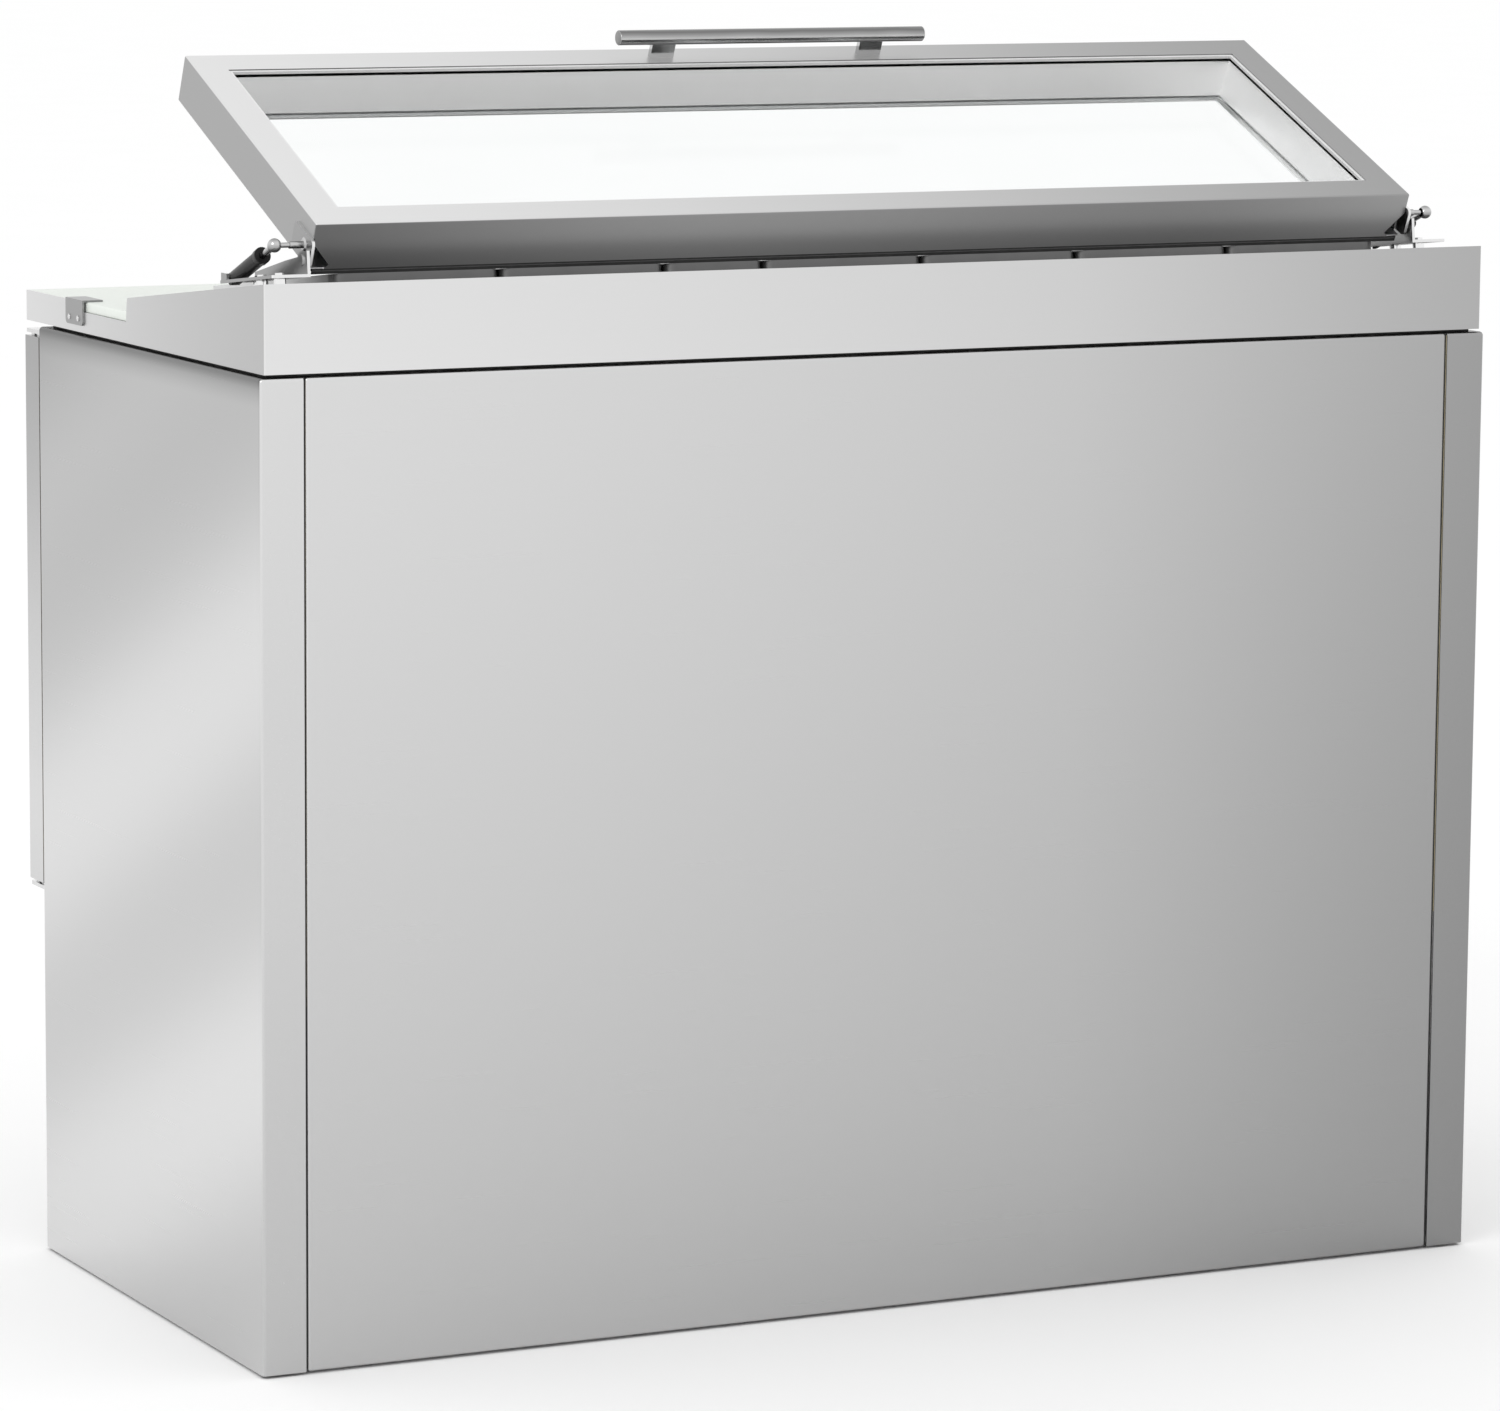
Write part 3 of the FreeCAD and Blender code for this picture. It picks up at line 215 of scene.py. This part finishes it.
def sheet_metal(name, paint, rough=0.3, grain=(3, 400, 400)):
    """Stainless sheet: its broad tones are painted reflection and shade from the paint function, with a fine
    grain on top.
    """
    material, tree, shader = new_material(name)
    fine = noise(tree, stretched(tree, grain), 1.0, 3.0, 0.6)
    speck = ramp(tree, fine, [(0.2, grey(0.994)), (0.8, grey(1.0))])
    tree.links.new(times(tree, paint(tree), speck), shader.inputs["Base Color"])
    shader.inputs["Metallic"].default_value = 1.0
    tree.links.new(mapped(tree, fine, 0.2, 0.8, rough - 0.01, rough + 0.01), shader.inputs["Roughness"])
    bump(tree, shader, fine, 0.002, 0.0001)
    return material


def steel(name, tones, direction, low, high, rough=0.3, cloud=0.1):
    """Stainless sheet with painted reflection: a soft change of tone along a direction and broad clouds of
    tone.
    """
    def paint(tree):
        place = mapped(tree, dot(tree, "Object", direction), low, high, 0, 1)
        painted_reflection_clouds = noise(tree, object_position(tree), 1.5, 1.5, 0.4, 0.6)
        place = calculated(tree, "ADD", place, mapped(tree, painted_reflection_clouds, 0.2, 0.8, -cloud, cloud))
        return ramp(tree, place, [(i / (len(tones) - 1), grey(tone)) for i, tone in enumerate(tones)])
    return sheet_metal(name, paint, rough)


def plain_metal(name, tone, rough, tint=0.0, dirt=0.15):
    """Small metal piece with slight unevenness."""
    material, tree, shader = new_material(name)
    spots = noise(tree, object_position(tree), 60.0, 3.0)
    stops = [(0.0, grey(tone * (1 - dirt), tint)), (1.0, grey(tone * (1 + dirt / 2), tint))]
    tree.links.new(ramp(tree, spots, stops), shader.inputs["Base Color"])
    shader.inputs["Metallic"].default_value = 1.0
    tree.links.new(mapped(tree, spots, 0.2, 0.8, rough * 0.8, rough * 1.2), shader.inputs["Roughness"])
    return material


def matte(name, dark, light, rough=0.6, scale=80.0, strength=0.1, specular=0.5):
    """Plastic, rubber or paint with a fine moulded texture."""
    material, tree, shader = new_material(name)
    spots = noise(tree, object_position(tree), scale, 4.0, 0.6)
    tree.links.new(ramp(tree, spots, [(0.25, dark), (0.75, light)]), shader.inputs["Base Color"])
    tree.links.new(mapped(tree, spots, 0.2, 0.8, rough - 0.05, rough + 0.05), shader.inputs["Roughness"])
    shader.inputs["Specular IOR Level"].default_value = specular
    fine = noise(tree, object_position(tree), scale * 20, 2.0)
    bump(tree, shader, fine, strength, 0.0002)
    return material


# painted reflection makes the sheets grow lighter towards their right end (+x), and painted shade makes the
# upright ones lighter towards the top
body_painted_reflection = [(-0.67, 170), (-0.20, 210), (0.67, 230)]
body_painted_shade = [(0.05, 0.70), (0.50, 0.80), (0.97, 0.95)]


# back panel: painted reflection along x times painted shade towards the bottom
def back_painted_light(tree):
    return times(tree, tones_along(tree, across, body_painted_reflection), fade_along(tree, top, body_painted_shade))


# side panels: painted reflection waves along a slant, painted shade towards the upper end of the slant and a
# painted shadow just under the rim; the rear return strips get painted reflection along x and painted shade
# towards the bottom
def side_painted_light(tree):
    slant = (0, -0.45, 1)
    waves = wave_along(tree, slant, 0.15, 0.42, 200, 235)
    upper = fade_along(tree, slant, [(-0.10, 1.0), (0.30, 1.0), (0.60, 1.0), (0.85, 0.85), (1.08, 0.5)])
    rim_painted_shadow = fade_along(tree, top, [(0.940, 0.96), (0.958, 0.70), (0.968, 0.20)])
    flank = times(tree, times(tree, waves, upper), rim_painted_shadow)
    rear_strip = tones_along(tree, across, [(-0.68, 155), (0.0, 210), (0.68, 230)])
    return blend(tree, facing(tree, back), flank, times(tree, rear_strip, fade_along(tree, top, body_painted_shade)))


# top rim: painted reflection, darker towards the back on most faces and lighter towards +x on its rear faces
def rim_painted_light(tree):
    deep = [(-0.33, 225), (0.0, 200), (0.32, 185)]
    upright = tones_along(tree, across, body_painted_reflection)
    return blend(tree, facing(tree, back), tones_along(tree, back, deep), upright)


# lid frame: painted reflection tones along x, one set for the top faces, one for the hinge-side faces and
# one for the others
def lid_painted_light(tree):
    hinge_side = tones_along(tree, across, [(-0.60, 160), (-0.32, 110), (0.22, 160), (0.62, 90)])
    upper = tones_along(tree, across, [(-0.60, 145), (0.0, 200), (0.62, 230)])
    others = tones_along(tree, across, [(-0.60, 160), (0.62, 170)])
    return blend(tree, facing(tree, lid_top), blend(tree, facing(tree, lid_back), others, hinge_side), upper)


# lid liner: painted light that keeps its walls nearly white, the faces turned towards the hinge side a
# little darker than the others
def lid_walls_painted_light(tree):
    far = tones_along(tree, across, [(-0.60, 255), (-0.40, 240), (0.60, 240)])
    side = tones_along(tree, across, [(-0.60, 255), (0.60, 250)])
    return blend(tree, facing(tree, lid_back, 0.4, 0.6), side, far)


# board clips: painted reflection tone, a little lighter towards +x; it is also the shaded tone of the
# brackets' side faces
def clip_painted_light(tree):
    return tones_along(tree, across, [(-0.70, 150), (0.70, 160)])


# hinge brackets and lid arms: painted light, lit top and rear faces and shaded other faces
def bracket_painted_light(tree):
    rear = tones_along(tree, across, [(-0.70, 230), (0.70, 235)])
    return blend(tree, facing(tree, top), blend(tree, facing(tree, back), clip_painted_light(tree), rear), rear)


# doors: painted reflection tones, along the height on the side faces turned to +x and along a tilted height
# on the front
def door_painted_light(tree):
    edge = tones_along(tree, top, [(0.38, 205), (0.52, 225), (0.96, 145)])
    front = tones_along(tree, (0.12, 0, 1), [(0.38, 180), (0.65, 230), (0.96, 200)])
    return blend(tree, facing(tree, across), front, edge)


def rounded_bar(name, tones, direction, wobble=0.12):
    """Polished round bar with painted reflection bands that run round it: (normal along a direction, grey).
    """
    material, tree, shader = new_material(name)
    waves = noise(tree, object_position(tree), 14.0, 1.0)
    wander = mapped(tree, waves, 0.2, 0.8, -wobble, wobble)
    turned = calculated(tree, "ADD", dot(tree, "Normal", direction), wander)
    bands = graded(tree, turned, [(at, level(tone)) for at, tone in tones])
    tree.links.new(bands, shader.inputs["Base Color"])
    shader.inputs["Metallic"].default_value = 1.0
    tree.links.new(mapped(tree, waves, 0.2, 0.8, 0.10, 0.16), shader.inputs["Roughness"])
    return material


def pan_metal(name):
    """Pan steel with painted shade that darkens it towards the back; its upward faces are dull."""
    material = plain_metal(name, 0.30, 0.34)
    tree = material.node_tree
    shader = next(node for node in tree.nodes if node.type == "BSDF_PRINCIPLED")
    tree.links.new(mapped(tree, facing(tree, top, 0.9, 0.97), 0, 1, 0.9, 0.0), shader.inputs["Metallic"])
    shader.inputs["Specular IOR Level"].default_value = 0.05
    # painted shade: the pans grow darker towards the back, under the lid
    tone = tones_along(tree, back, [(-0.35, 230), (0.10, 230), (0.26, 100), (0.35, 90)])
    tree.links.new(tone, shader.inputs["Base Color"])
    return material


back_sheet = sheet_metal("back_sheet", back_painted_light, 0.28)
side_sheet = sheet_metal("side_sheet", side_painted_light, 0.28, (400, 3, 400))
rim_sheet = sheet_metal("rim_sheet", rim_painted_light, 0.30)
lid_sheet = sheet_metal("lid_sheet", lid_painted_light, 0.34)
lid_wall_sheet = sheet_metal("lid_wall_sheet", lid_walls_painted_light, 0.34)
bracket_sheet = sheet_metal("bracket_sheet", bracket_painted_light, 0.3)
clip_sheet = sheet_metal("clip_sheet", clip_painted_light, 0.35)
door_sheet = sheet_metal("door_sheet", door_painted_light, 0.28)
# painted reflection bands: round the handle bar, and round the ball studs and strut rods
bar_painted_reflections = [(-1.0, 240), (-0.86, 240), (-0.74, 50), (-0.62, 50), (-0.45, 170), (0.0, 225), (0.8, 90),
             (1.0, 140)]
handle_chrome = rounded_bar("handle_chrome", bar_painted_reflections, lid_top)
ball_painted_reflections = [(-1.0, 120), (-0.7, 60), (-0.4, 120), (0.4, 230), (1.0, 110)]
ball_chrome = rounded_bar("ball_chrome", ball_painted_reflections, top, 0.05)
# front grille: painted reflection tones along a tilted height, with broad painted reflection clouds
grille_painted_reflections = [0.50, 0.62, 0.70, 0.60]
grille_sheet = steel("grille_sheet", grille_painted_reflections, (0.3, 0, 1.0), 0.35, 0.98, 0.24, 0.12)
# liner steel: painted shade that darkens it towards the bottom, with broad painted reflection clouds
inner_sheet = steel("inner_sheet", [0.45, 0.55, 0.60], (0, 0, 1.0), 0.3, 1.0, rough=0.3, cloud=0.1)
pan_sheet = pan_metal("pan_sheet")
zinc_sheet = plain_metal("zinc_sheet", 0.50, 0.42, 0.0, 0.3)
chrome = plain_metal("chrome", 0.82, 0.07, 0.0, 0.05)
bright_steel = plain_metal("bright_steel", 0.70, 0.20)
fin_metal = plain_metal("fin_metal", 0.66, 0.30)
black_gloss = matte("black_gloss", (0.006, 0.006, 0.006), (0.012, 0.012, 0.012), 0.35, 40.0, 0.02, 0.2)
black_paint = matte("black_paint", (0.012, 0.012, 0.013), (0.03, 0.03, 0.03), 0.42, 60.0, 0.15)
black_plastic = matte("black_plastic", (0.012, 0.012, 0.012), (0.03, 0.03, 0.03), 0.5, 120.0, 0.2)
rubber = matte("rubber", (0.016, 0.016, 0.016), (0.04, 0.04, 0.04), 0.7, 90.0, 0.2)
board_plastic = matte("board_plastic", (0.71, 0.745, 0.70), (0.76, 0.79, 0.75), 0.5, 200.0, 0.25)
foam = matte("foam", (0.62, 0.54, 0.34), (0.78, 0.70, 0.48), 0.85, 150.0, 0.5)


def pane(name, base, rough, transmission, index, coat=0.0):
    """Glass whose faint unevenness and body colour come from nodes."""
    material, tree, shader = new_material(name)
    waves = noise(tree, object_position(tree), 8.0, 2.0)
    light = tuple(min(1.0, c * 1.02) for c in base)
    tree.links.new(ramp(tree, waves, [(0.0, base), (1.0, light)]), shader.inputs["Base Color"])
    tree.links.new(mapped(tree, waves, 0.2, 0.8, rough, rough + 0.002), shader.inputs["Roughness"])
    shader.inputs["Transmission Weight"].default_value = transmission
    shader.inputs["IOR"].default_value = index
    shader.inputs["Coat Weight"].default_value = coat
    return material


clear_pane = pane("clear_pane", (0.98, 0.985, 0.98), 0.0, 1.0, 1.03)
white_pane = pane("white_pane", (0.97, 0.98, 0.98), 0.02, 1.0, 1.06)
display = pane("display", (0.02, 0.03, 0.04), 0.05, 0.2, 1.45, 0.6)
light_seal = matte("light_seal", (0.70, 0.70, 0.70), (0.78, 0.78, 0.78), 0.6, 90.0, 0.1)

looks = {
    "base_pan": zinc_sheet, "levelling_feet": black_plastic, "side_panel_right": side_sheet,
    "side_panel_left": side_sheet, "back_panel": back_sheet, "power_inlet": black_plastic,
    "insulation": foam, "cabinet_liner": inner_sheet, "front_rails": inner_sheet, "front_posts": inner_sheet,
    "top_rim": rim_sheet, "rim_seal": rubber, "worktop_core": foam, "cutting_board": board_plastic,
    "board_clips": clip_sheet, "clip_rivets": bright_steel, "pans_wide": pan_sheet, "pan_narrow": pan_sheet,
    "pan_bars": pan_sheet, "well_liner": inner_sheet, "lid_frame": lid_sheet, "lid_liner": lid_wall_sheet,
    "lid_glass_inner": white_pane, "lid_glass_outer": clear_pane, "lid_pane_seal": light_seal,
    "lid_gasket": rubber, "lid_handle": handle_chrome, "hinge_brackets": bracket_sheet,
    "bracket_bolts": chrome, "lid_arms": bracket_sheet,
    "ball_studs": ball_chrome, "strut_tube_right": black_gloss,
    "strut_tube_left": black_gloss, "strut_rod_right": ball_chrome, "strut_rod_left": ball_chrome,
    "door_pivots": bright_steel, "shelves": chrome, "shelf_runners": inner_sheet,
    "evaporator_housing": inner_sheet, "evaporator_coil": fin_metal, "evaporator_fan": black_plastic,
    "compressor": black_paint, "condenser": fin_metal, "condenser_shroud": zinc_sheet,
    "condenser_fan": black_plastic, "drip_tray": zinc_sheet, "front_grille": grille_sheet,
    "display_window": display, "set_key": black_plastic, "rocker_switch": black_plastic,
    "control_panel": black_plastic,
}
for number in (1, 2, 3):
    looks["door_%d_skin" % number] = door_sheet
    looks["door_%d_core" % number] = foam
    looks["door_%d_seal" % number] = rubber

# ---------------------------------------------------------------- CAD nodes

soft_edges = {"top_rim": 0.0006, "cutting_board": 0.0008, "hinge_brackets": 0.0005, "board_clips": 0.0004,
              "lid_arms": 0.0004}
for name, obj in nodes.items():
    obj.data.materials.clear()
    obj.data.materials.append(looks[name])
    for face in obj.data.polygons:
        face.use_smooth = True
        face.material_index = 0
    weld = obj.modifiers.new("weld", "WELD")
    weld.merge_threshold = 0.00001
    if name in soft_edges:
        bevel = obj.modifiers.new("bevel", "BEVEL")
        bevel.width = soft_edges[name]
        bevel.segments = 2
        bevel.limit_method = "ANGLE"
        bevel.angle_limit = math.radians(50)
    split = obj.modifiers.new("split", "EDGE_SPLIT")
    split.split_angle = math.radians(35)
    weigh = obj.modifiers.new("weigh", "WEIGHTED_NORMAL")
    weigh.mode = "FACE_AREA"
    weigh.weight = 90

# ---------------------------------------------------------------- added pieces


def finish_piece(name, mesh, material, body):
    for face in mesh.polygons:
        face.use_smooth = True
    obj = bpy.data.objects.new(name, mesh)
    bpy.context.scene.collection.objects.link(obj)
    mesh.materials.append(material)
    split = obj.modifiers.new("split", "EDGE_SPLIT")
    split.split_angle = math.radians(35)
    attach(obj, body)
    return obj


def lathe(mesh, profile, origin, axis, segments=32, hex_rings=(), ring_shaped=False):
    """Adds a turned form to a bmesh from (radius, height) points, closed by caps or into a ring."""
    axis = Vector(axis).normalized()
    side = axis.orthogonal().normalized()
    other = axis.cross(side)
    rings = []
    for index, (radius, height) in enumerate(profile):
        ring = []
        for i in range(segments):
            turn = 2 * math.pi * i / segments
            reach = radius
            if index in hex_rings:
                reach = radius * math.cos(math.pi / 6) / math.cos((turn % (math.pi / 3)) - math.pi / 6)
            point = Vector(origin) + axis * height
            point += side * (reach * math.cos(turn)) + other * (reach * math.sin(turn))
            ring.append(mesh.verts.new(point))
        rings.append(ring)
    for lower, upper in zip(rings, rings[1:]):
        for i in range(segments):
            j = (i + 1) % segments
            mesh.faces.new((lower[i], lower[j], upper[j], upper[i]))
    if ring_shaped:
        for i in range(segments):
            j = (i + 1) % segments
            mesh.faces.new((rings[-1][i], rings[-1][j], rings[0][j], rings[0][i]))
        return
    mesh.faces.new(reversed(rings[0]))
    mesh.faces.new(rings[-1])


def block(mesh, low, high, cut=0.0002):
    """Adds a block with bevelled edges to a bmesh."""
    made = bmesh.ops.create_cube(mesh, size=1.0)
    size = [h - l for l, h in zip(low, high)]
    middle = [(h + l) / 2 for l, h in zip(low, high)]
    place = Matrix.Translation(middle) @ Matrix.Diagonal((*size, 1))
    bmesh.ops.transform(mesh, matrix=place, verts=made["verts"])
    edges = {e for v in made["verts"] for e in v.link_edges}
    bmesh.ops.bevel(mesh, geom=list(edges), offset=cut, segments=2, profile=0.5, affect="EDGES")


def to_mesh(name, mesh):
    data = bpy.data.meshes.new(name)
    bmesh.ops.recalc_face_normals(mesh, faces=mesh.faces)
    mesh.to_mesh(data)
    mesh.free()
    return data


# dark strips at the bottom of the back panel's two seam gaps, standing in for the shade in the gaps
panel_low, panel_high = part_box("back_panel")
seam, seam_depth, seam_reach, seam_lift = 0.0018, 0.0022, 0.010, 0.001
for label, edge, sign in (("right", panel_high.x, 1), ("left", panel_low.x, -1)):
    build = bmesh.new()
    x0, x1 = sorted((edge + sign * 0.0001, edge + sign * seam))
    low = (x0, panel_high.y - seam_reach, panel_low.z + seam_lift)
    block(build, low, (x1, panel_high.y - seam_depth, panel_high.z))
    finish_piece("seam_shade_strip_" + label, to_mesh("seam", build), rubber, "cabinet")


def solids_of(name):
    """World points of each separate solid of a node."""
    obj = nodes[name]
    mesh = obj.data
    parent = list(range(len(mesh.vertices)))

    def root(i):
        while parent[i] != i:
            parent[i] = parent[parent[i]]
            i = parent[i]
        return i

    first_at = {}
    for vertex in mesh.vertices:
        key = tuple(round(c, 5) for c in vertex.co)
        parent[root(vertex.index)] = root(first_at.setdefault(key, vertex.index))
    for edge in mesh.edges:
        parent[root(edge.vertices[0])] = root(edge.vertices[1])
    groups = {}
    for vertex in mesh.vertices:
        groups.setdefault(root(vertex.index), []).append(obj.matrix_world @ vertex.co)
    return [groups[key] for key in sorted(groups)]


joints = {joint["name"]: joint for joint in frame["record"]["behaviour"]["joints"]}
lid_low, lid_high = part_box("lid_frame")
pin_forward, pin_up, lid_tilt = 0.001, 0.0095, math.radians(-23.1)
pin = Vector(joints["lid_hinge"]["pos_m"])
lid_matrix = (Matrix.Translation((0, pin.y, pin.z)) @ Matrix.Rotation(lid_tilt, 4, "X")
              @ Matrix.Translation((0, pin_forward, -pin_up)))


def lid_strip(name, forward, up, inset, cut, material):
    """Long strip along the lid's hinge edge; "forward" and "up" are spans in the lid's own flat frame."""
    build = bmesh.new()
    block(build, (lid_low.x + inset, -forward[1], up[0]), (lid_high.x - inset, -forward[0], up[1]), cut)
    data = to_mesh(name, build)
    data.transform(lid_matrix)
    finish_piece(name, data, material, "lid")


# soft lip of the lid's gasket along the hinge side, a dark strip that also stands in for the shade there,
# with a paler bead on it as a painted highlight line
highlight_bead_rubber = matte("highlight_bead_rubber", (0.06, 0.06, 0.06), (0.09, 0.09, 0.09), 0.6, 90.0, 0.1)
lid_strip("gasket_lip", (0.0013, 0.0026), (-0.0063, -0.0001), 0.004, 0.0002, rubber)
lid_strip("gasket_highlight_bead", (0.0007, 0.0014), (-0.0030, -0.0020), 0.004, 0.0001, highlight_bead_rubber)

# dark hexagon discs on the bracket bolt heads, standing in for the shade in their hexagon recesses
rim_rise, rim_run = 41.0, 362.0
slope = math.atan2(rim_rise, rim_run)
slope_up = Vector((0, -math.sin(slope), math.cos(slope)))
recess_shade_profile = [(0.0024, -0.0003), (0.0024, 0.0001), (0.0020, 0.00015)]
build = bmesh.new()
for points in solids_of("bracket_bolts"):
    reach = max(point.dot(slope_up) for point in points)
    head = [point for point in points if point.dot(slope_up) > reach - 0.0002]
    middle = sum(head, Vector()) / len(head)
    lathe(build, recess_shade_profile, middle, slope_up, 36, (0, 1, 2))
finish_piece("bolt_recess_shades", to_mesh("bolt_recess_shades", build), black_plastic, "cabinet")

# domed rivet heads on the board clips
dome = [(0.0027, -0.0002), (0.0026, 0.0001), (0.0021, 0.0005), (0.0012, 0.0008), (0.0003, 0.0009)]
build = bmesh.new()
for points in solids_of("clip_rivets"):
    side = 1 if points[0].x > 0 else -1
    reach = max(point.x * side for point in points)
    head = [point for point in points if point.x * side > reach - 0.0002]
    middle = sum(head, Vector()) / len(head)
    lathe(build, dome, middle, (side, 0, 0), 24)
finish_piece("rivet_domes", to_mesh("rivet_domes", build), bright_steel, "cabinet")

# black end collars on the strut tubes, from the rod's hole out and back over the tube
rod_hole, tube_radius, collar_radius, corner = 0.0037, 0.0076, 0.0084, 0.0004
collar_start, tube_end, collar_end = 0.0700, 0.0762, 0.0778
collar = [(rod_hole, tube_end), (rod_hole, collar_end), (collar_radius - corner, collar_end),
          (collar_radius, collar_end - corner), (collar_radius, collar_start + corner),
          (collar_radius - corner / 2, collar_start), (tube_radius, collar_start), (tube_radius, tube_end)]
for label in ("right", "left"):
    swing = joints["strut_swing_" + label]
    travel = joints["strut_travel_" + label]
    build = bmesh.new()
    lathe(build, collar, swing["pos_m"], travel["axis"], 40, (), True)
    finish_piece("strut_collar_" + label, to_mesh("strut_collar", build), black_gloss, "strut_tube_" + label)

# grey end discs of the handle
bar_forward, bar_up, disc_radius = 0.348, 0.070, 0.0069
handle_low, handle_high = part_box("lid_handle")
bar_centre = lid_matrix @ Vector((0, -bar_forward, bar_up))
disc_grey = plain_metal("disc_grey", 0.30, 0.4)
disc = [(disc_radius, -0.0003), (disc_radius, 0.0002), (disc_radius - 0.0004, 0.0004)]
build = bmesh.new()
for end, side in ((handle_high.x, 1), (handle_low.x, -1)):
    lathe(build, disc, (end, bar_centre.y, bar_centre.z), (side, 0, 0), 40)
finish_piece("handle_end_discs", to_mesh("handle_end_discs", build), disc_grey, "lid")

# ---------------------------------------------------------------- camera, floor and light

camera_place = Vector((2.93716, 5.92437, 1.55183))
azimuth, elevation, roll = math.radians(153.64), math.radians(8.42), math.radians(0.42)
backward = Vector((math.sin(azimuth) * math.cos(elevation), -math.cos(azimuth) * math.cos(elevation),
                   math.sin(elevation)))
level_right = (-backward).cross(Vector((0, 0, 1))).normalized()
level_up = backward.cross(level_right)
right = level_right * math.cos(roll) + level_up * math.sin(roll)
up = backward.cross(right)
lens = bpy.data.cameras.new("camera")
lens.lens = 153.69
lens.sensor_width = 36.0
lens.clip_end = 300.0
camera = bpy.data.objects.new("camera", lens)
turn = Matrix((right, up, backward)).transposed().to_4x4()
camera.matrix_world = Matrix.Translation(camera_place) @ turn
bpy.context.scene.collection.objects.link(camera)
bpy.context.scene.camera = camera

floor_material, floor_tree, floor_shader = new_material("floor")
floor_spots = noise(floor_tree, object_position(floor_tree), 3.0, 2.0)
floor_tone = ramp(floor_tree, floor_spots, [(0.0, grey(0.93)), (1.0, grey(0.95))])
floor_tree.links.new(floor_tone, floor_shader.inputs["Base Color"])
floor_shader.inputs["Roughness"].default_value = 0.9
floor_shader.inputs["Specular IOR Level"].default_value = 0.0
floor_mesh = bpy.data.meshes.new("floor")
reach = 90.0
floor_mesh.from_pydata([(-reach, -reach, 0), (reach, -reach, 0), (reach, reach, 0), (-reach, reach, 0)], [],
                       [(0, 1, 2, 3)])
floor = bpy.data.objects.new("floor", floor_mesh)
floor_mesh.materials.append(floor_material)
bpy.context.scene.collection.objects.link(floor)
floor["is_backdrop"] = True

world = bpy.data.worlds.new("studio")
bpy.context.scene.world = world
world.use_nodes = True
sky = world.node_tree.nodes["Background"]
sky.inputs["Color"].default_value = (1.0, 1.0, 1.0, 1.0)
sky.inputs["Strength"].default_value = 1.06


def area_light(name, place, target, size, power):
    data = bpy.data.lights.new(name, "AREA")
    data.size = size
    data.energy = power
    obj = bpy.data.objects.new(name, data)
    direction = Vector(target) - Vector(place)
    turn = direction.to_track_quat("-Z", "Y").to_matrix().to_4x4()
    obj.matrix_world = Matrix.Translation(Vector(place)) @ turn
    bpy.context.scene.collection.objects.link(obj)


area_light("key", (4.5, 3.0, 4.0), (0, 0, 0.7), 2.5, 60.0)
bpy.context.scene.view_settings.view_transform = "Standard"

low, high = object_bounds()
